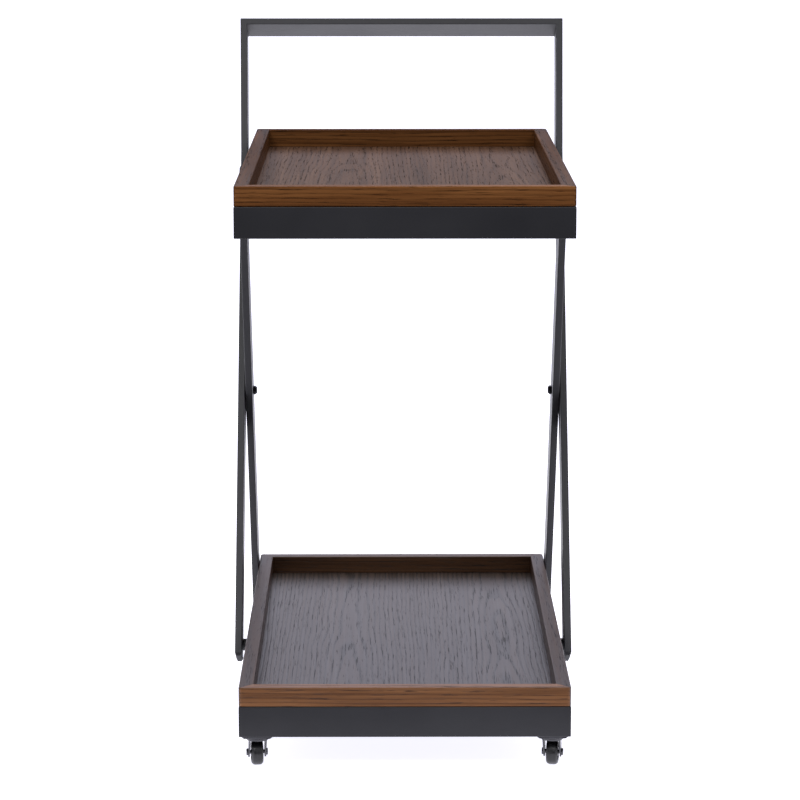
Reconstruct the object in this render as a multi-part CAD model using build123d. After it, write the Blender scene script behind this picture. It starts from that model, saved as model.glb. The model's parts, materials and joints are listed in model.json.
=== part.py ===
from build123d import *
import math
import os

# Two-tier bar cart on swivel casters with scissor side frames and a push handle.
# Millimetres, +Z up, front of the cart towards -Y, standing on z = 0.
# While it is drawn, y = 0 is the front face of the trays; save() centres the part.

# ---- driving dimensions -------------------------------------------------------------
tray_width = 406.0
tray_length = 690.0
rim_thick = 18.0
rim_height = 23.5
rim_corner = 5.0
rim_roundover = 1.5
floor_thick = 8.0
floor_play = 0.5          # gap between the nested floor panel and the steel frame
floor_rebate = 1.0        # step around the floor panel that the rims sit down into
rebate_play = 0.2
pad_thick = 1.0           # felt pads that leave a shadow line under each tray

rail_height = 38.0
rail_thick = 12.0
rail_wall = 1.5
rail_round = 1.0
lower_rail_z = 44.0       # underside of the lower steel frame
deck_pitch = 613.5        # height from the lower steel frame to the upper one

leg_thick = 9.3
leg_width = 46.0
leg_wall = 1.2
leg_round = 1.0
leg_play = 1.0            # side play between rail and inner leg, and between the legs
leg_lean = 26.3           # degrees from vertical
cross_rise = 10.0         # height of the crossing pivots above the middle between the decks
leg_end = 15.0            # tube left beyond the outermost pivot
plug_cap = 4.0            # thickness of the visible cap of an end plug
plug_depth = 5.0
plug_taper = 28.0         # degrees that the cap narrows by
handle_reach = 537.4      # from the crossing pivot to the top of the handle bar
handle_splay = 3.3        # how far each outer leg leans out between upper pivot and handle
splay_start = 9.0         # above the upper pivot, along the leg

lower_pivot_y = 670.5     # the pivots of the inner legs at the rear of the lower frame
bolt_radius = 4.0
bore_play = 0.06          # running clearance of a bolt in a bore
bushing_radius = 7.0
sink_radius = 6.8
sink_depth = 2.8
nut_height = 4.6
nut_flats = 11.0
spacer_radius = 8.0
glide_radius = 16.5
glide_thick = 7.5
slot_play = 0.3
slot_front_stop = 22.0    # front-most place of the sliding pins

slat_width = 25.0
slat_thick = 3.0
gusset_size = 40.0
gusset_thick = 3.0

screw_radius = 2.0
screw_length = 4.1        # short enough for the glides to pass over the tips
screw_head_radius = 3.0
screw_head_height = 1.6
screw_inset = 4.8

caster_inset = 22.0
caster_plate = 38.0
plate_thick = 2.0
race_height = 3.1
race_radius = 14.5
ball_radius = 1.3
ball_circle = 9.5
ball_count = 10
fork_gap = 0.5
fork_top_thick = 2.4
fork_radius = 14.0
cheek_thick = 1.8
cheek_gap = 9.2           # from the wheel's middle to a fork cheek
cheek_end = 6.5
kingpin_radius = 3.5
wheel_radius = 16.0
wheel_width = 14.0
wheel_trail = 10.0
axle_radius = 2.5
axle_head = 2.2

# ---- derived sizes ------------------------------------------------------------------
half_width = tray_width / 2
lower_mid_z = lower_rail_z + rail_height / 2
upper_mid_z = lower_mid_z + deck_pitch
lean = math.radians(leg_lean)
cross_z = (lower_mid_z + upper_mid_z) / 2 + cross_rise
lower_arm = (cross_z - lower_mid_z) / math.cos(lean)     # lower pivot to crossing, on a leg
upper_arm = (upper_mid_z - cross_z) / math.cos(lean)     # crossing to upper pivot, on a leg
cross_y = lower_pivot_y - lower_arm * math.sin(lean)
lower_slide_y = cross_y - lower_arm * math.sin(lean)
upper_pivot_y = cross_y + upper_arm * math.sin(lean)
upper_slide_y = cross_y - upper_arm * math.sin(lean)
inner_leg_x = half_width + leg_play            # inner face of the inner legs
outer_leg_x = inner_leg_x + leg_thick + leg_play
outer_face_x = outer_leg_x + leg_thick
handle_face_x = outer_face_x + handle_splay    # outer face of the outer legs at the top
handle_rear_y = cross_y + handle_reach * math.sin(lean) + leg_width / 2 * math.cos(lean)
overall_depth = handle_rear_y
rail_inner_x = half_width - rail_thick
caster_x = half_width - caster_inset
caster_ys = (caster_inset, tray_length - caster_inset)


def save(shape, node):
    """Writes one node, centred on the cart's footprint."""
    os.makedirs("parts", exist_ok=True)
    export_step(Pos(0, -overall_depth / 2, 0) * shape, f"parts/{node}.step")


def block(x0, x1, y0, y1, z0, z1):
    """A box between two corners."""
    centre = Pos((x0 + x1) / 2, (y0 + y1) / 2, (z0 + z1) / 2)
    return centre * Box(x1 - x0, y1 - y0, z1 - z0)


def rod_x(radius, x0, x1, y, z):
    """A round bar along X."""
    return Pos((x0 + x1) / 2, y, z) * Rot(0, 90, 0) * Cylinder(radius, abs(x1 - x0))


def cone_x(radius0, radius1, x0, x1, y, z):
    """A tapered bar along X, radius0 at x0 and radius1 at x1, with x1 above x0."""
    return Pos((x0 + x1) / 2, y, z) * Rot(0, 90, 0) * Cone(radius0, radius1, x1 - x0)


def ring_x(outer, inner, x0, x1, y, z):
    """A sleeve or washer along X."""
    return rod_x(outer, x0, x1, y, z) - rod_x(inner, x0 - 1, x1 + 1, y, z)


def hex_x(flats, x0, x1, y, z):
    """A hexagonal bar along X, given across its flats."""
    section = RegularPolygon(flats / math.sqrt(3), 6)
    bar = extrude(section, x1 - x0)
    return Pos(x0, y, z) * Rot(0, 90, 0) * bar


def group(shapes):
    """Separate solids that share one node."""
    return Compound([solid for shape in shapes for solid in shape.solids()])


def both_sides(shape):
    """A shape on the +X side and its mirror image on the -X side."""
    return group([shape, mirror(shape, Plane.YZ)])


def mitre_wedge(side, depth, z0, z1):
    """The prism that keeps one side of a rectangular ring, cut at 45 degrees."""
    corners = {
        "front": [(-half_width, 0), (half_width, 0),
                  (half_width - depth, depth), (-half_width + depth, depth)],
        "rear": [(-half_width, tray_length), (half_width, tray_length),
                 (half_width - depth, tray_length - depth),
                 (-half_width + depth, tray_length - depth)],
        "left": [(-half_width, 0), (-half_width + depth, depth),
                 (-half_width + depth, tray_length - depth), (-half_width, tray_length)],
        "right": [(half_width, 0), (half_width - depth, depth),
                  (half_width - depth, tray_length - depth), (half_width, tray_length)],
    }[side]
    outline = make_face(Polyline(*corners, close=True))
    return Pos(0, 0, z0) * extrude(outline, z1 - z0)


# ---- steel deck frames --------------------------------------------------------------
def rail_tube(side, z0):
    """A rectangular tube along one side of a deck frame, mitred at both ends."""
    section = RectangleRounded(rail_thick, rail_height, rail_round)
    cavity = Rectangle(rail_thick - 2 * rail_wall, rail_height - 2 * rail_wall)
    along_x = side in ("front", "rear")
    length = tray_width if along_x else tray_length
    tube = extrude(section - cavity, length / 2, both=True)
    mid_z = z0 + rail_height / 2
    if along_x:
        y = rail_thick / 2 if side == "front" else tray_length - rail_thick / 2
        tube = Plane((0, y, mid_z), x_dir=(0, 1, 0), z_dir=(1, 0, 0)) * tube
    else:
        x = half_width - rail_thick / 2
        x = -x if side == "left" else x
        place = Plane((x, tray_length / 2, mid_z), x_dir=(1, 0, 0), z_dir=(0, -1, 0))
        tube = place * tube
    wedge = mitre_wedge(side, rail_thick + 1, z0 - 1, z0 + rail_height + 1)
    return tube & wedge


def pivot_cuts(z0, pivot_y, slide_y):
    """The rear pivot bores through both walls and the slots in the outer walls."""
    mid_z = z0 + rail_height / 2
    bore = rod_x(bolt_radius + bore_play, rail_inner_x - 1, half_width + 1, pivot_y, mid_z)
    slot_radius = bolt_radius + slot_play
    x0 = half_width - rail_wall - 1
    x1 = half_width + 1
    slot = block(x0, x1, slot_front_stop, slide_y, mid_z - slot_radius, mid_z + slot_radius)
    for y in (slot_front_stop, slide_y):
        slot += rod_x(slot_radius, x0, x1, y, mid_z)
    return both_sides(bore + slot)


def caster_corners():
    """The middle of each caster plate: name, x, y."""
    for row, y in zip(("front", "rear"), caster_ys):
        for side, sign in (("left", -1), ("right", 1)):
            yield f"{row}_{side}", sign * caster_x, y


def caster_screw_places():
    """Where the four screws of every caster go."""
    step = caster_plate / 2 - screw_inset
    for _, x, y in caster_corners():
        for dx in (-step, step):
            for dy in (-step, step):
                yield x + dx, y + dy


def screw_shanks():
    """The shanks of all caster screws, as one cutting tool or as their own bodies."""
    top = lower_rail_z + screw_length - plate_thick
    bottom = lower_rail_z - plate_thick
    middle = (top + bottom) / 2
    return [Pos(x, y, middle) * Cylinder(screw_radius, top - bottom)
            for x, y in caster_screw_places()]


def slats(z_top):
    """Two flat cross bars inside a deck frame."""
    bars = []
    for share in (0.3, 0.7):
        y = tray_length * share
        bars.append(block(-rail_inner_x, rail_inner_x, y - slat_width / 2,
                          y + slat_width / 2, z_top - slat_thick, z_top))
    return group(bars)


def felt_pads(z0):
    """Thin felt discs on top of a deck frame, under the tray's rims."""
    pads = []
    inset = rail_thick / 2
    for y in (inset, tray_length / 2, tray_length - inset):
        for x in (-half_width + inset, half_width - inset):
            shift = 24.0 if y < inset + 1 else (-24.0 if y > tray_length / 2 + 1 else 0.0)
            pads.append(Pos(x, y + shift, z0 + pad_thick / 2) * Cylinder(4.0, pad_thick))
    return group(pads)


def deck_frame(name, z0, pivot_y, slide_y):
    """Four rails, two slats and the felt pads of one deck."""
    cuts = pivot_cuts(z0, pivot_y, slide_y)
    for side in ("front", "rear", "left", "right"):
        rail = rail_tube(side, z0)
        if side in ("left", "right"):
            rail = rail - cuts
        if name == "lower":
            for shank in screw_shanks():
                rail = rail - shank
        save(rail, f"{name}_frame_{side}_rail")
    save(slats(z0 + rail_height - floor_thick - 1.0), f"{name}_frame_slats")
    save(felt_pads(z0 + rail_height), f"{name}_frame_felt_pads")


def gussets():
    """Corner plates that carry the inner caster screws."""
    plates = []
    for _, x, y in caster_corners():
        sx = 1 if x > 0 else -1
        y_wall = rail_thick if y < tray_length / 2 else tray_length - rail_thick
        sy = 1 if y < tray_length / 2 else -1
        xs = sorted((sx * rail_inner_x, sx * (rail_inner_x - gusset_size)))
        ys = sorted((y_wall, y_wall + sy * gusset_size))
        plates.append(block(xs[0], xs[1], ys[0], ys[1],
                            lower_rail_z, lower_rail_z + gusset_thick))
    for shank in screw_shanks():
        plates = [plate - shank for plate in plates]
    return group(plates)


# ---- wooden trays -------------------------------------------------------------------
def tray(name, z0):
    """Four mitred rim boards whose inner lips sit on the rebated edge of a floor panel."""
    outer = RectangleRounded(tray_width, tray_length, rim_corner)
    inner = Rectangle(tray_width - 2 * rim_thick, tray_length - 2 * rim_thick)
    inset = rail_thick + floor_play
    lip = Rectangle(tray_width - 2 * inset, tray_length - 2 * inset)
    ring = extrude(outer - inner, rim_height)
    ring = fillet(ring.edges().group_by(Axis.Z)[-1], rim_roundover)
    ring += extrude(lip - inner, -floor_rebate)
    ring = Pos(0, tray_length / 2, z0) * ring
    for side in ("front", "rear", "left", "right"):
        wedge = mitre_wedge(side, rim_thick + 1, z0 - floor_rebate - 1, z0 + rim_height + 1)
        save(ring & wedge, f"{name}_tray_{side}_rim")
    panel = block(-half_width + inset, half_width - inset, inset, tray_length - inset,
                  z0 - floor_thick, z0 - floor_rebate)
    edge = rim_thick + rebate_play
    panel += block(-half_width + edge, half_width - edge, edge, tray_length - edge,
                   z0 - floor_rebate - 1, z0)
    save(panel, f"{name}_tray_floor")


# ---- legs and handle ----------------------------------------------------------------
def leg_section():
    """The rectangular tube section of legs and handle, thin along X."""
    outer = RectangleRounded(leg_thick, leg_width, leg_round)
    return outer - Rectangle(leg_thick - 2 * leg_wall, leg_width - 2 * leg_wall)


def lean_back(shape):
    """Turns a leg drawn upright on the crossing so that its top goes to the rear."""
    return Pos(0, cross_y, cross_z) * Rot(-leg_lean, 0, 0) * shape


def lean_forward(shape):
    """Turns a leg drawn upright on the crossing so that its top goes to the front."""
    return Pos(0, cross_y, cross_z) * Rot(leg_lean, 0, 0) * shape


def leg_tube(x_face, z0, z1, bores):
    """An upright tube on the +X side with holes for its bushings."""
    x_mid = x_face + leg_thick / 2
    tube = Pos(x_mid, 0, z0) * extrude(leg_section(), z1 - z0)
    for z in bores:
        tube -= rod_x(bushing_radius, x_face - 1, x_face + leg_thick + 1, 0, z)
    return tube


def splayed_tube(x_face, z0, z1):
    """The upper end of an outer leg on the +X side, which leans outwards."""
    starts = (x_face + leg_thick / 2, x_face + leg_thick / 2 + handle_splay)
    ends = [Pos(x, 0, z) for x, z in zip(starts, (z0, z1))]
    outline = RectangleRounded(leg_thick, leg_width, leg_round)
    hollow = Rectangle(leg_thick - 2 * leg_wall, leg_width - 2 * leg_wall)
    return loft([end * outline for end in ends]) - loft([end * hollow for end in ends])


def bushing(x_face, z, sunk):
    """A welded-in sleeve, with a countersink on its outer face where a bolt sits."""
    sleeve = ring_x(bushing_radius, bolt_radius, x_face, x_face + leg_thick, 0, z)
    if sunk:
        sleeve -= countersunk_head(x_face + leg_thick, z)
    else:
        sleeve -= rod_x(bolt_radius + bore_play, x_face - 1, x_face + leg_thick + 1, 0, z)
    return sleeve


def countersunk_head(x_outer, z):
    """The flat conical head of a bolt whose top is flush at x_outer."""
    rim = 0.6
    cone = cone_x(bolt_radius, sink_radius, x_outer - sink_depth, x_outer - rim, 0, z)
    return cone + rod_x(sink_radius, x_outer - rim, x_outer, 0, z)


def flush_bolt(x_outer, x_inner, z):
    """A countersunk bolt from its flush head to its inner end."""
    shank = rod_x(bolt_radius, x_inner, x_outer - sink_depth, 0, z)
    bolt = shank + countersunk_head(x_outer, z)
    socket = extrude(RegularPolygon(2.6, 6), 2.0)
    return bolt - Pos(x_outer - 1.8, 0, z) * Rot(0, 90, 0) * socket


def lock_nut(x_face, z):
    """A hex nut with a plain collar, inwards of x_face, bored for its bolt."""
    nut = hex_x(nut_flats, x_face - nut_height + 1.2, x_face, 0, z)
    nut += rod_x(nut_flats / 2 - 0.6, x_face - nut_height, x_face - nut_height + 1.2, 0, z)
    return nut - rod_x(bolt_radius, x_face - nut_height - 1, x_face + 1, 0, z)


def end_plug(x_face, z, upwards):
    """A plastic plug pushed into a tube end, with a cap as wide as the tube."""
    x_mid = x_face + leg_thick / 2
    stem = Box(leg_thick - 2 * leg_wall, leg_width - 2 * leg_wall, plug_depth)
    cap = extrude(RectangleRounded(leg_thick, leg_width, leg_round), plug_cap, taper=plug_taper)
    stem = Pos(0, 0, -plug_depth / 2) * stem
    plug = cap + stem
    if not upwards:
        plug = Rot(180, 0, 0) * plug
    return Pos(x_mid, 0, z) * plug


def slide_pin(x_outer, z):
    """A flush bolt that ends inside the rail, through the glide."""
    return flush_bolt(x_outer, half_width - rail_wall - glide_thick - 0.5, z)


def glide(z):
    """A nylon disc that runs inside the hollow side rail."""
    x1 = half_width - rail_wall - 0.5
    disc = ring_x(glide_radius, bolt_radius, x1 - glide_thick, x1, 0, z)
    return disc


def inner_frame():
    """The inner leg pair, fixed at the lower rear and sliding at the upper front."""
    low = lower_arm + leg_end
    high = upper_arm + leg_end
    x_outer = inner_leg_x + leg_thick
    leg = leg_tube(inner_leg_x, -low, high, (-lower_arm, 0, upper_arm))
    save(lean_forward(leg), "inner_right_leg")
    save(lean_forward(mirror(leg, Plane.YZ)), "inner_left_leg")

    sleeves = [bushing(inner_leg_x, -lower_arm, True), bushing(inner_leg_x, 0, False),
               bushing(inner_leg_x, upper_arm, True)]
    save(lean_forward(both_sides(group(sleeves))), "inner_leg_bushings")

    nut_face = rail_inner_x - slot_play
    bolt = flush_bolt(x_outer, nut_face - nut_height - 1.0, -lower_arm)
    save(lean_forward(both_sides(bolt)), "lower_pivot_bolts")
    save(lean_forward(both_sides(lock_nut(nut_face, -lower_arm))), "lower_pivot_nuts")
    save(lean_forward(both_sides(slide_pin(x_outer, upper_arm))), "upper_slide_pins")
    save(lean_forward(both_sides(glide(upper_arm))), "upper_glides")

    washers = [ring_x(9.0, bolt_radius, half_width + slot_play, inner_leg_x, 0, z)
               for z in (-lower_arm, upper_arm)]
    save(lean_forward(both_sides(group(washers))), "inner_leg_washers")
    plugs = [end_plug(inner_leg_x, high, True), end_plug(inner_leg_x, -low, False)]
    save(lean_forward(both_sides(group(plugs))), "inner_leg_end_plugs")


def handle_frame():
    """The outer leg pair, joined at the top by the handle bar."""
    low = lower_arm + leg_end
    bend = upper_arm + splay_start
    mitre = leg_thick * 2
    corner = make_face(Polyline((handle_face_x - mitre, handle_reach - mitre),
                                (handle_face_x, handle_reach),
                                (handle_face_x + 1, handle_reach + 1),
                                (handle_face_x + 1, handle_reach - mitre), close=True))
    corner = Rot(90, 0, 0) * extrude(corner, leg_width, both=True)

    leg = leg_tube(outer_leg_x, -low, bend, (-lower_arm, 0, upper_arm))
    leg += splayed_tube(outer_leg_x, bend, handle_reach)
    lower_part = block(outer_leg_x - 1, handle_face_x + 1, -leg_width, leg_width,
                       -low - 1, handle_reach - mitre)
    leg = leg & (lower_part + corner)
    save(lean_back(leg), "outer_right_leg")
    save(lean_back(mirror(leg, Plane.YZ)), "outer_left_leg")

    bar = extrude(leg_section(), handle_face_x, both=True)
    bar = Pos(0, 0, handle_reach - leg_thick / 2) * Rot(0, 90, 0) * bar
    for tool in (corner, mirror(corner, Plane.YZ)):
        bar = bar - tool
    save(lean_back(bar), "handle_bar")

    sleeves = [bushing(outer_leg_x, z, True) for z in (-lower_arm, 0, upper_arm)]
    save(lean_back(both_sides(group(sleeves))), "outer_leg_bushings")

    cross_face = inner_leg_x - slot_play
    cross_bolt = flush_bolt(outer_face_x, cross_face - nut_height - 0.4, 0)
    save(lean_back(both_sides(cross_bolt)), "cross_pivot_bolts")
    rail_face = rail_inner_x - slot_play
    upper_bolt = flush_bolt(outer_face_x, rail_face - nut_height - 1.0, upper_arm)
    save(lean_back(both_sides(upper_bolt)), "upper_pivot_bolts")
    nuts = [lock_nut(cross_face, 0), lock_nut(rail_face, upper_arm)]
    save(lean_back(both_sides(group(nuts))), "outer_leg_nuts")
    save(lean_back(both_sides(slide_pin(outer_face_x, -lower_arm))), "lower_slide_pins")
    save(lean_back(both_sides(glide(-lower_arm))), "lower_glides")

    washer = ring_x(9.0, bolt_radius, outer_leg_x - leg_play + 0.1, outer_leg_x, 0, 0)
    save(lean_back(both_sides(washer)), "cross_pivot_washers")
    spacers = [ring_x(spacer_radius, bolt_radius, half_width + slot_play, outer_leg_x, 0, z)
               for z in (-lower_arm, upper_arm)]
    save(lean_back(both_sides(group(spacers))), "outer_leg_spacers")
    plug = end_plug(outer_leg_x, -low, False)
    save(lean_back(both_sides(plug)), "outer_leg_end_plugs")


# ---- casters ------------------------------------------------------------------------
# How far each caster is turned about its kingpin from trailing straight back, degrees.
caster_turn = {"front_left": 7.0, "front_right": -9.0,
               "rear_left": -4.0, "rear_right": 6.0}
plate_z = lower_rail_z - plate_thick           # underside of a caster plate
race_z = plate_z - race_height
fork_top_z = race_z - fork_gap
groove_z = race_z - fork_gap / 2


def ball_groove():
    """The ring-shaped raceway shared by a caster plate and its fork."""
    return Pos(0, 0, groove_z) * Torus(ball_circle, ball_radius + 0.15)


def caster_top_plate():
    """A square mounting plate with its pressed dome."""
    plate = extrude(RectangleRounded(caster_plate, caster_plate, 4.0), plate_thick)
    plate = Pos(0, 0, plate_z) * plate
    dome = Pos(0, 0, (plate_z + race_z) / 2) * Cone(race_radius, race_radius + 1.7,
                                                   race_height)
    plate = plate + dome - ball_groove()
    return plate - Pos(0, 0, plate_z) * Cylinder(kingpin_radius, 20)


def kingpin():
    """The rivet that the fork turns on, headed above and below."""
    head_z = fork_top_z - fork_top_thick - slot_play
    shank = Pos(0, 0, (lower_rail_z + head_z) / 2) * Cylinder(kingpin_radius,
                                                             lower_rail_z - head_z)
    head = Pos(0, 0, head_z - 0.9) * Cylinder(6.0, 1.8)
    return shank + head


def balls():
    """The ball bearings of one caster."""
    ring = []
    for index in range(ball_count):
        angle = 2 * math.pi * index / ball_count
        centre = Pos(ball_circle * math.cos(angle), ball_circle * math.sin(angle), groove_z)
        ring.append(centre * Sphere(ball_radius))
    return ring


def fork():
    """A pressed fork: a round crown and two cheeks that trail back to the axle."""
    crown_z = fork_top_z - fork_top_thick
    crown = Pos(0, 0, fork_top_z - fork_top_thick / 2) * Cylinder(fork_radius,
                                                                 fork_top_thick)
    outline = make_face(Polyline((-9.0, crown_z + 1.0), (9.5, crown_z + 1.0),
                                 (wheel_trail + cheek_end, wheel_radius),
                                 (wheel_trail - cheek_end, wheel_radius), close=True))
    outline += Pos(wheel_trail, wheel_radius) * Circle(cheek_end)
    cheek = Plane((0, 0, 0), x_dir=(0, 1, 0), z_dir=(1, 0, 0)) * extrude(outline, cheek_thick)
    shape = crown
    for x in (cheek_gap, -cheek_gap - cheek_thick):
        shape += Pos(x, 0, 0) * cheek
    shape -= ball_groove()
    shape -= Pos(0, 0, fork_top_z) * Cylinder(kingpin_radius + 0.1, 12)
    span = cheek_gap + cheek_thick + 1
    return shape - rod_x(axle_radius, -span, span, wheel_trail, wheel_radius)


def axle():
    """A wheel's axle with a low round head at each end."""
    span = cheek_gap + cheek_thick
    bar = rod_x(axle_radius, -span, span, wheel_trail, wheel_radius)
    for side in (-1, 1):
        x0, x1 = sorted((side * span, side * (span + axle_head)))
        bar += rod_x(axle_radius + 1.8, x0, x1, wheel_trail, wheel_radius)
    return bar


def wheel():
    """A moulded wheel with a crowned tread, dished sides and a hub."""
    half = wheel_width / 2
    profile = make_face(Polyline(
        (axle_radius + bore_play, -half), (5.5, -half), (6.0, -half + 2.2),
        (11.0, -half + 2.2), (11.6, -half), (wheel_radius - 2.2, -half),
        (wheel_radius - 0.5, -half + 1.8), (wheel_radius, -half + 4.0),
        (wheel_radius, half - 4.0), (wheel_radius - 0.5, half - 1.8),
        (wheel_radius - 2.2, half), (11.6, half), (11.0, half - 2.2),
        (6.0, half - 2.2), (5.5, half), (axle_radius + bore_play, half), close=True))
    turned = revolve(Rot(90, 0, 0) * profile, Axis.Z)
    return Pos(0, wheel_trail, wheel_radius) * Rot(0, 90, 0) * turned


def casters():
    """Four casters: what is fixed to the frame, and each fork, axle and wheel."""
    plates = []
    kingpins = []
    bearings = []
    for corner, x, y in caster_corners():
        place = Pos(x, y, 0)
        turned = place * Rot(0, 0, caster_turn[corner])
        plate = place * caster_top_plate()
        for shank in screw_shanks():
            plate = plate - shank
        plates.append(plate)
        kingpins.append(place * kingpin())
        bearings += [place * ball for ball in balls()]
        save(turned * fork(), f"{corner}_caster_fork")
        save(turned * axle(), f"{corner}_caster_axle")
        save(turned * wheel(), f"{corner}_caster_wheel")
    save(group(plates), "caster_plates")
    save(group(kingpins), "caster_kingpins")
    save(group(bearings), "caster_bearing_balls")

    head_z = plate_z - screw_head_height / 2
    heads = [Pos(x, y, head_z) * Cylinder(screw_head_radius, screw_head_height)
             for x, y in caster_screw_places()]
    screws = [shank + head for shank, head in zip(screw_shanks(), heads)]
    save(group(screws), "caster_screws")


def main():
    deck_frame("lower", lower_rail_z, lower_pivot_y, lower_slide_y)
    deck_frame("upper", lower_rail_z + deck_pitch, upper_pivot_y, upper_slide_y)
    save(gussets(), "caster_gussets")
    tray("lower", lower_rail_z + rail_height + pad_thick)
    tray("upper", lower_rail_z + deck_pitch + rail_height + pad_thick)
    inner_frame()
    handle_frame()
    casters()


main()
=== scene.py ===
import json
import math

import bpy
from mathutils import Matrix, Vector


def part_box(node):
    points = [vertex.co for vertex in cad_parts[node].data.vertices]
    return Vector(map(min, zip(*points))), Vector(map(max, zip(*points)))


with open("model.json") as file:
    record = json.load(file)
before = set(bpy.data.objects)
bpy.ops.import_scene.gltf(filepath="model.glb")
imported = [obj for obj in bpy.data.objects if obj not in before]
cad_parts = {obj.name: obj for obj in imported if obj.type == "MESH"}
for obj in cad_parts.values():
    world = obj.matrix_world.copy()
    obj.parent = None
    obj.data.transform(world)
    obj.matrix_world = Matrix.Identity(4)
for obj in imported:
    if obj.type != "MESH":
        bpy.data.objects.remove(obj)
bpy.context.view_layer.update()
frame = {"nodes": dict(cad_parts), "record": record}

nodes = frame["nodes"]
scene = bpy.context.scene

# ---- camera: metres and degrees, measured from the front face of the lower frame -----
CAMERA_AHEAD = 3.5615
CAMERA_SIDE = -0.0241
CAMERA_HEIGHT = 1.1411
CAMERA_DOWN = 10.774
CAMERA_TURN = -0.292
CAMERA_LENS = 136.4          # millimetres
CAMERA_SENSOR = 36.0         # millimetres


def make_camera():
    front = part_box("lower_frame_front_rail")[0].y
    data = bpy.data.cameras.new("camera")
    data.lens = CAMERA_LENS
    data.sensor_width = CAMERA_SENSOR
    camera = bpy.data.objects.new("camera", data)
    scene.collection.objects.link(camera)
    camera.location = (CAMERA_SIDE, front - CAMERA_AHEAD, CAMERA_HEIGHT)
    camera.rotation_euler = (math.radians(90.0 - CAMERA_DOWN), 0.0, math.radians(CAMERA_TURN))
    scene.camera = camera


# ---- stains and painted light: dark, middle and light. A panel is the floor of a tray ---
# the upper and lower sets differ as painted light and shade, set for the light and sheen each deck
# gets
RIM = {"upper": ((0.050, 0.018, 0.006), (0.110, 0.042, 0.013), (0.190, 0.080, 0.026)),
       "lower": ((0.075, 0.030, 0.012), (0.150, 0.064, 0.024), (0.230, 0.108, 0.044))}
PANEL = {"upper": ((0.044, 0.024, 0.015), (0.084, 0.047, 0.030), (0.120, 0.070, 0.045)),
         "lower": ((0.022, 0.015, 0.012), (0.040, 0.028, 0.023), (0.060, 0.043, 0.035))}
RIM_GRAIN_AXIS = {"front": "X", "rear": "X", "left": "Y", "right": "Y"}
# painted light and shade on each rim: a factor on the deck's colours that makes the fronts lighter
# and the rear and side rims darker, for how the light falls on each board
RIM_PAINTED_SHADE = {"upper": {"front": 1.35, "rear": 0.85, "left": 0.5, "right": 0.5},
            "lower": {"front": 1.25, "rear": 0.4, "left": 0.25, "right": 0.25}}
RIM_SHINE = {"upper": 0.02, "lower": 0.30}
RIM_FIGURE = 0.3
PANEL_FIGURE = {"upper": 0.25, "lower": 0.8}
PANEL_SHINE = {"upper": 0.02, "lower": 0.60}
LACQUER_ROUGHNESS = 0.36

# ---- oak grain, in metres -------------------------------------------------------------
LEAF = 0.20                  # width of a veneer leaf
LEAF_EDGE = 0.17             # from the panel's middle line to the edge between two leaves
HEART_SIDE = 0.03            # from a solid board's middle line to the tree's heart
HEART_DEPTH = 0.012          # from the board's middle plane to the heart
HEART_SLOPE = 0.018          # how fast the heart rises along the board
HEART_WANDER = 0.030         # how far it wanders up and down
RING_WAVE = 0.006            # how far a growth ring waves
RING_DENSITY = 190.0         # growth rings to the metre
RELIEF = 0.00020             # height of the whole grain relief


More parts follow.
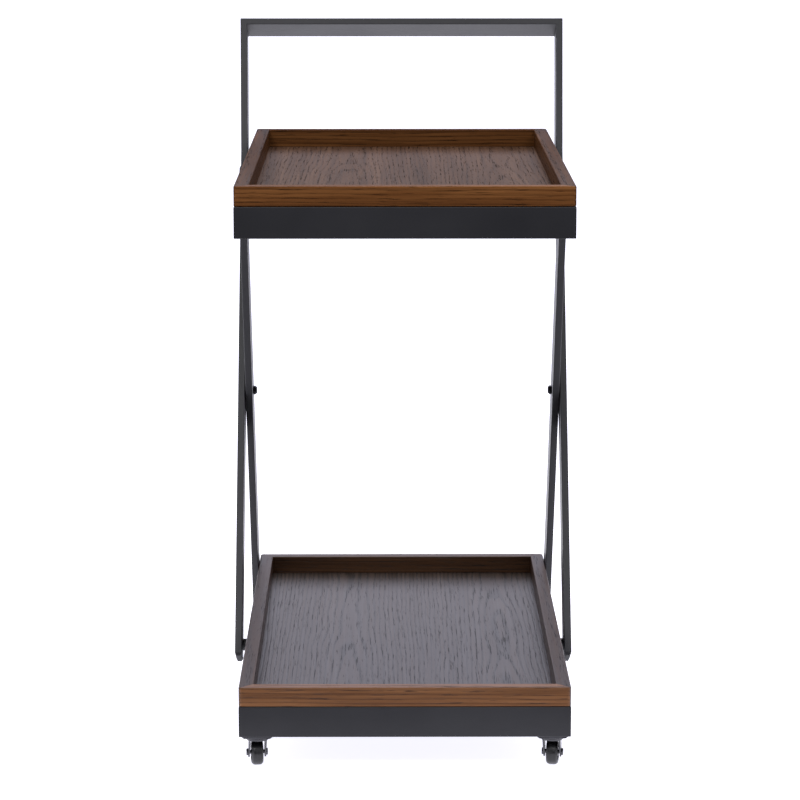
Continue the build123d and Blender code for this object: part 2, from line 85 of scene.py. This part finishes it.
# ---- shader helpers -------------------------------------------------------------------
class Shader:
    """A small wrapper that adds nodes to one material and links their sockets."""

    def __init__(self, name):
        self.material = bpy.data.materials.new(name)
        self.material.use_nodes = True
        self.tree = self.material.node_tree
        self.surface = self.tree.nodes["Principled BSDF"]

    def add(self, kind, **settings):
        node = self.tree.nodes.new("ShaderNode" + kind)
        for key, value in settings.items():
            setattr(node, key, value)
        return node

    def link(self, source, target):
        self.tree.links.new(source, target)

    def feed(self, node, socket, value):
        """Links a socket, or sets it when the value is a plain number or colour."""
        if isinstance(value, bpy.types.NodeSocket):
            self.link(value, node.inputs[socket])
        else:
            node.inputs[socket].default_value = value

    def math(self, operation, first, second=0.0):
        node = self.add("Math", operation=operation)
        self.feed(node, 0, first)
        self.feed(node, 1, second)
        return node.outputs[0]

    def place(self):
        """The place on the object, in metres, in the row frame."""
        return self.add("TexCoord").outputs["Object"]

    def joined(self, x, y, z):
        """One vector from three values."""
        node = self.add("CombineXYZ")
        for socket, value in enumerate((x, y, z)):
            self.feed(node, socket, value)
        return node.outputs[0]

    def moved(self, vector, offset):
        node = self.add("VectorMath", operation="ADD")
        self.link(vector, node.inputs[0])
        self.link(offset, node.inputs[1])
        return node.outputs[0]

    def stretched(self, vector, scale):
        node = self.add("Mapping")
        self.feed(node, "Vector", vector)
        self.feed(node, "Scale", scale)
        return node.outputs[0]

    def noise(self, vector, scale, detail=2.0, roughness=0.5, distortion=0.0):
        node = self.add("TexNoise")
        self.feed(node, "Vector", vector)
        self.feed(node, "Scale", scale)
        self.feed(node, "Detail", detail)
        self.feed(node, "Roughness", roughness)
        self.feed(node, "Distortion", distortion)
        return node.outputs["Fac"]

    def span(self, value, low, high, to_low=0.0, to_high=1.0):
        """Maps low..high onto to_low..to_high and clamps the result."""
        node = self.add("MapRange")
        self.feed(node, "Value", value)
        self.feed(node, "From Min", low)
        self.feed(node, "From Max", high)
        self.feed(node, "To Min", to_low)
        self.feed(node, "To Max", to_high)
        return node.outputs[0]

    def ramp(self, value, stops):
        node = self.add("ValToRGB")
        self.feed(node, "Fac", value)
        elements = node.color_ramp.elements
        while len(elements) < len(stops):
            elements.new(0.5)
        for element, (position, colour) in zip(elements, stops):
            element.position = position
            element.color = (*colour, 1.0)
        return node.outputs["Color"]

    def mix(self, amount, first, second):
        """Mixes two colours. Sockets 6 and 7 and output 2 are the node's colour ones."""
        node = self.add("Mix", data_type="RGBA")
        self.feed(node, 0, amount)
        for socket, colour in ((6, first), (7, second)):
            linked = isinstance(colour, bpy.types.NodeSocket)
            self.feed(node, socket, colour if linked else (*colour, 1.0))
        return node.outputs[2]

    def bump(self, height, distance, strength=1.0, after=None):
        node = self.add("Bump")
        self.feed(node, "Height", height)
        self.feed(node, "Distance", distance)
        self.feed(node, "Strength", strength)
        if after is not None:
            self.link(after, node.inputs["Normal"])
        return node.outputs[0]

    def finish(self, colour, roughness, normal=None, **constants):
        self.feed(self.surface, "Base Color", colour)
        self.feed(self.surface, "Roughness", roughness)
        if normal is not None:
            self.link(normal, self.surface.inputs["Normal"])
        for socket, value in constants.items():
            self.surface.inputs[socket.replace("_", " ")].default_value = value
        return self.material


def oak(name, along, across, seed, shades, figure, shine, centre, leaf=None):
    """Walnut-stained flat-sawn oak. along and across name the grain's axes, shades are the dark,
    middle and light colours of the stained wood with the board's painted light and shade in them,
    figure is how strongly the growth rings show, centre is the board's middle point, and leaf is
    the width of the veneer leaves, or None for a solid board."""
    s = Shader(name)
    split = s.add("SeparateXYZ")
    s.link(s.place(), split.inputs[0])
    axes = {axis: s.math("SUBTRACT", split.outputs[index], centre[index])
            for index, axis in enumerate("XYZ")}
    depth = ({"X", "Y", "Z"} - {along, across}).pop()
    u, v, w = axes[across], axes[along], axes[depth]

    if leaf is None:
        heart = s.math("ADD", u, HEART_SIDE + seed * 0.004)
        lift = seed * 0.37
    else:
        leaves = s.math("DIVIDE", s.math("ADD", u, LEAF_EDGE), leaf)
        pick = s.add("TexWhiteNoise", noise_dimensions="1D")
        s.feed(pick, "W", s.math("ADD", s.math("FLOOR", leaves), seed))
        heart = s.math("MULTIPLY", s.math("SUBTRACT", s.math("FRACT", leaves), 0.5), leaf)
        lift = s.math("MULTIPLY", pick.outputs["Value"], 3.0)
    grain = s.moved(s.joined(u, v, w), s.joined(seed * 1.7, lift, seed * 0.9))

    # Growth rings: cones around a heart line that rises slowly along the board.
    wander = s.noise(grain, 2.4, 2.0, 0.5)
    rise = s.math("ADD", s.math("MULTIPLY", v, HEART_SLOPE),
                  s.math("MULTIPLY", wander, HEART_WANDER))
    rise = s.math("ADD", rise, s.math("ADD", w, HEART_DEPTH))
    wave = s.noise(s.stretched(grain, (40.0, 4.0, 40.0)), 1.6, 3.0, 0.5)
    radius = s.math("SQRT", s.math("ADD", s.math("MULTIPLY", heart, heart),
                                   s.math("MULTIPLY", rise, rise)))
    radius = s.math("ADD", radius, s.math("MULTIPLY", wave, RING_WAVE))
    phase = s.math("FRACT", s.math("MULTIPLY", radius, RING_DENSITY))
    early = s.math("MULTIPLY", s.span(phase, 0.0, 0.08), s.span(phase, 0.45, 0.22))

    # Open pores: thin dark streaks, crowded in the early wood.
    pores = s.noise(s.stretched(grain, (900.0, 26.0, 900.0)), 1.0, 2.0, 0.6)
    limit = s.span(early, 0.0, 1.0, 0.63, 0.54)
    pore = s.span(s.math("SUBTRACT", pores, limit), 0.0, 0.06)
    fibre = s.noise(s.stretched(grain, (330.0, 5.0, 330.0)), 1.0, 4.0, 0.65)
    band = s.noise(s.stretched(grain, (60.0, 1.2, 60.0)), 1.0, 3.0, 0.55)

    dark, middle, light = shades
    tone = s.math("ADD", s.math("MULTIPLY", fibre, 0.5), s.math("MULTIPLY", band, 0.5))
    base = s.ramp(tone, ((0.32, dark), (0.5, middle), (0.66, light)))
    base = s.mix(s.math("MULTIPLY", early, figure), base, tuple(0.35 * c for c in dark))
    base = s.mix(s.math("MULTIPLY", pore, 0.75), base, tuple(0.25 * c for c in dark))

    height = s.math("SUBTRACT", s.math("MULTIPLY", fibre, 0.2),
                    s.math("ADD", s.math("MULTIPLY", pore, 0.7), s.math("MULTIPLY", early, figure)))
    normal = s.bump(height, RELIEF, 0.7)
    sheen = s.span(fibre, 0.3, 0.7, LACQUER_ROUGHNESS, LACQUER_ROUGHNESS + 0.08)
    rough = s.math("ADD", s.math("MULTIPLY", pore, 0.2), sheen)
    return s.finish(base, rough, normal, IOR=1.5, Specular_IOR_Level=shine)


def powder_coat():
    """Charcoal powder coat: a fine orange peel with a slightly uneven sheen."""
    s = Shader("charcoal_powder_coat")
    here = s.place()
    peel = s.noise(here, 850.0, 2.0, 0.5)
    grit = s.noise(here, 2600.0, 2.0, 0.6)
    cloud = s.noise(here, 7.0, 3.0, 0.5)
    colour = s.ramp(cloud, ((0.3, (0.0165, 0.0165, 0.0195)), (0.7, (0.0235, 0.0235, 0.0270))))
    colour = s.mix(s.span(grit, 0.62, 0.78, 0.0, 0.35), colour, (0.05, 0.05, 0.054))
    normal = s.bump(peel, 0.00012, 0.6)
    normal = s.bump(grit, 0.00005, 0.5, normal)
    return s.finish(colour, s.span(cloud, 0.3, 0.7, 0.40, 0.50), normal, IOR=1.42)


def metal(name, colour, roughness, streak, scuff):
    """Plated or polished metal with fine streaks and dull patches."""
    s = Shader(name)
    here = s.place()
    lines = s.noise(s.stretched(here, (300.0, 300.0, 2400.0)), 1.0, 3.0, 0.6)
    patches = s.noise(here, 120.0, 3.0, 0.6)
    tint = s.mix(s.span(patches, 0.35, 0.75, 0.0, scuff), colour, tuple(0.55 * c for c in colour))
    rough = s.math("ADD", s.span(lines, 0.3, 0.7, roughness, roughness + streak),
                   s.span(patches, 0.5, 0.8, 0.0, 0.12))
    normal = s.bump(lines, 0.00003, 0.5)
    return s.finish(tint, rough, normal, Metallic=1.0)


def plastic(name, colour, roughness, grain_scale, wear):
    """Moulded plastic with a fine grain and paler scuffs."""
    s = Shader(name)
    here = s.place()
    grain = s.noise(here, grain_scale, 3.0, 0.6)
    scuffs = s.noise(s.stretched(here, (160.0, 700.0, 160.0)), 1.0, 4.0, 0.7)
    tint = s.mix(s.span(scuffs, 0.55, 0.8, 0.0, wear), colour, tuple(c + 0.06 for c in colour))
    rough = s.span(scuffs, 0.4, 0.8, roughness, roughness + 0.25)
    normal = s.bump(grain, 0.00006, 0.6)
    return s.finish(tint, rough, normal, IOR=1.48)


def felt():
    """Black pressed felt with loose fibres."""
    s = Shader("black_felt")
    here = s.place()
    fibre = s.noise(here, 3200.0, 4.0, 0.8, 1.5)
    colour = s.ramp(fibre, ((0.35, (0.008, 0.008, 0.008)), (0.7, (0.035, 0.034, 0.033))))
    return s.finish(colour, 0.95, s.bump(fibre, 0.0003, 0.9), Sheen_Weight=0.4)


def middle_of(name):
    """The middle of a CAD node's bounding box, in metres."""
    low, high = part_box(name)
    return (low + high) / 2


def dress(material, name):
    """Gives a CAD node a material."""
    data = nodes[name].data
    data.materials.clear()
    data.materials.append(material)


def smooth(name, angle=30.0):
    """Shades a CAD node smooth except across its sharp edges."""
    data = nodes[name].data
    data.polygons.foreach_set("use_smooth", [True] * len(data.polygons))
    data.set_sharp_from_angle(angle=math.radians(angle))


def dress_frame():
    """Gives every CAD node its material: by slot, except the wood, which has one for each board."""
    slots = {part["node"]: part["material_slot"] for part in frame["record"]["subparts"]}
    finishes = {
        "powder_coat": powder_coat(),
        "dark_chrome": metal("dark_chrome", (0.08, 0.08, 0.085), 0.20, 0.12, 0.25),
        "dark_zinc": metal("black_zinc", (0.06, 0.06, 0.065), 0.34, 0.12, 0.25),
        "steel_ball": metal("ball_steel", (0.62, 0.62, 0.64), 0.08, 0.04, 0.1),
        "black_screw": metal("black_oxide_steel", (0.045, 0.045, 0.05), 0.34, 0.15, 0.4),
        "nylon": plastic("black_nylon", (0.03, 0.03, 0.03), 0.45, 900.0, 0.2),
        "black_plastic": plastic("black_plug_plastic", (0.012, 0.012, 0.013), 0.75, 1400.0, 0.1),
        "wheel_black": plastic("black_wheel_plastic", (0.006, 0.006, 0.0065), 0.30, 700.0, 0.2),
        "felt": felt(),
    }
    for name, slot in slots.items():
        if slot in finishes:
            dress(finishes[slot], name)
    for deck, seed in (("upper", 1.0), ("lower", 2.0)):
        for index, (side, along) in enumerate(RIM_GRAIN_AXIS.items()):
            node = f"{deck}_tray_{side}_rim"
            # each board's colours carry painted light and shade: lighter fronts, darker rear and
            # side rims
            stain_with_painted_shade = [tuple(RIM_PAINTED_SHADE[deck][side] * c for c in shade) for shade in RIM[deck]]
            board = oak(f"{deck}_{side}_rim_oak", along, "Z", seed * 5 + index, stain_with_painted_shade, RIM_FIGURE,
                        RIM_SHINE[deck], middle_of(node))
            dress(board, node)
        # the panel's colours carry its deck's painted light and shade
        node = f"{deck}_tray_floor"
        panel = oak(f"{deck}_floor_oak", "Y", "X", seed * 3.1, PANEL[deck], PANEL_FIGURE[deck],
                    PANEL_SHINE[deck], middle_of(node), LEAF)
        dress(panel, node)


# ---- stage: the sky's elevation in degrees, its grey and how blue it is --------------
SKY = ((0.0, 0.10, 1.0), (6.0, 0.10, 1.0), (10.0, 0.4, 1.1), (14.0, 1.6, 1.2), (20.0, 1.2, 1.2),
       (35.0, 1.5, 1.2), (55.0, 0.6, 1.1), (90.0, 0.10, 1.0))
SKY_FRONT = 0.25             # how bright the camera's side of the sky is beside the far side
SKY_TURN = (-0.4, 0.2)       # where it goes from one to the other, as the direction's Y
FLOOR_SIZE = 40.0            # metres, from the middle to an edge
FLOOR_TINT = (0.92, 0.92, 0.92)
FLOOR_GLOW = 0.90
GLOW_TINT = (0.97, 0.97, 1.10)
FLOOR_FRONT = 0.12           # how bright the floor is far in front of the cart
FLOOR_DARK_Y = -0.56         # metres: it is as dark as that up to here,
FLOOR_WHITE_Y = -0.50        # and white from here on
BLACK = (0.0, 0.0, 0.0)
WHITE = (1.0, 1.0, 1.0)
WARM = (1.0, 0.92, 0.84)

# name, place, target, size, power in watts and colour of each lamp
LAMPS = (("key", (-1.4, -2.8, 3.2), (0.0, 0.0, 0.45), (1.4, 1.4), 70.0, WHITE),
         ("back", (0.0, 0.7, 1.6), (0.0, 0.15, 0.65), (1.2, 0.5), 10.0, WARM),
         ("fill", (1.5, -2.8, 3.0), (0.0, 0.0, 0.45), (1.4, 1.4), 46.0, WHITE))


def make_floor():
    """A glowing floor: white around the cart and behind it, dark on the camera's side."""
    shader = Shader("white_floor")
    split = shader.add("SeparateXYZ")
    shader.link(shader.place(), split.inputs[0])
    near = shader.span(split.outputs[1], FLOOR_DARK_Y, FLOOR_WHITE_Y, FLOOR_FRONT, 1.0)
    tint = shader.mix(near, BLACK, FLOOR_TINT)
    glow = shader.mix(near, BLACK, GLOW_TINT)
    material = shader.finish(tint, 0.9, Emission_Strength=FLOOR_GLOW, Specular_IOR_Level=0.0)
    shader.link(glow, shader.surface.inputs["Emission Color"])
    mesh = bpy.data.meshes.new("floor")
    corners = [(FLOOR_SIZE * x, FLOOR_SIZE * y, 0) for x, y in ((-1, -1), (1, -1), (1, 1), (-1, 1))]
    mesh.from_pydata(corners, [], [(0, 1, 2, 3)])
    mesh.materials.append(material)
    floor = bpy.data.objects.new("floor", mesh)
    scene.collection.objects.link(floor)


def area_light(name, place, target, size, power, colour):
    data = bpy.data.lights.new(name, "AREA")
    data.shape = "RECTANGLE"
    data.size, data.size_y = size
    data.energy = power
    data.color = colour
    light = bpy.data.objects.new(name, data)
    scene.collection.objects.link(light)
    light.location = place
    aim = Vector(target) - Vector(place)
    light.rotation_euler = aim.to_track_quat("-Z", "Y").to_euler()


def make_sky():
    """A sky whose grey follows its elevation, dimmed on the camera's side."""
    world = bpy.data.worlds.new("studio")
    scene.world = world
    world.use_nodes = True
    tree = world.node_tree
    background = tree.nodes["Background"]
    coords = tree.nodes.new("ShaderNodeTexCoord")
    split = tree.nodes.new("ShaderNodeSeparateXYZ")
    ramp = tree.nodes.new("ShaderNodeValToRGB")
    tree.links.new(coords.outputs["Generated"], split.inputs[0])
    tree.links.new(split.outputs["Z"], ramp.inputs["Fac"])
    elements = ramp.color_ramp.elements
    while len(elements) < len(SKY):
        elements.new(0.5)
    for element, (elevation, grey, tint) in zip(elements, SKY):
        element.position = math.sin(math.radians(elevation))
        element.color = (grey, grey, grey * tint, 1.0)
    side = tree.nodes.new("ShaderNodeMapRange")
    tree.links.new(split.outputs["Y"], side.inputs["Value"])
    for socket, value in zip(("From Min", "From Max", "To Min"), (*SKY_TURN, SKY_FRONT)):
        side.inputs[socket].default_value = value
    tree.links.new(ramp.outputs["Color"], background.inputs["Color"])
    tree.links.new(side.outputs[0], background.inputs["Strength"])


make_camera()
dress_frame()
for name in nodes:
    smooth(name)
make_floor()
make_sky()
for lamp in LAMPS:
    area_light(*lamp)
scene.view_settings.view_transform = "Standard"
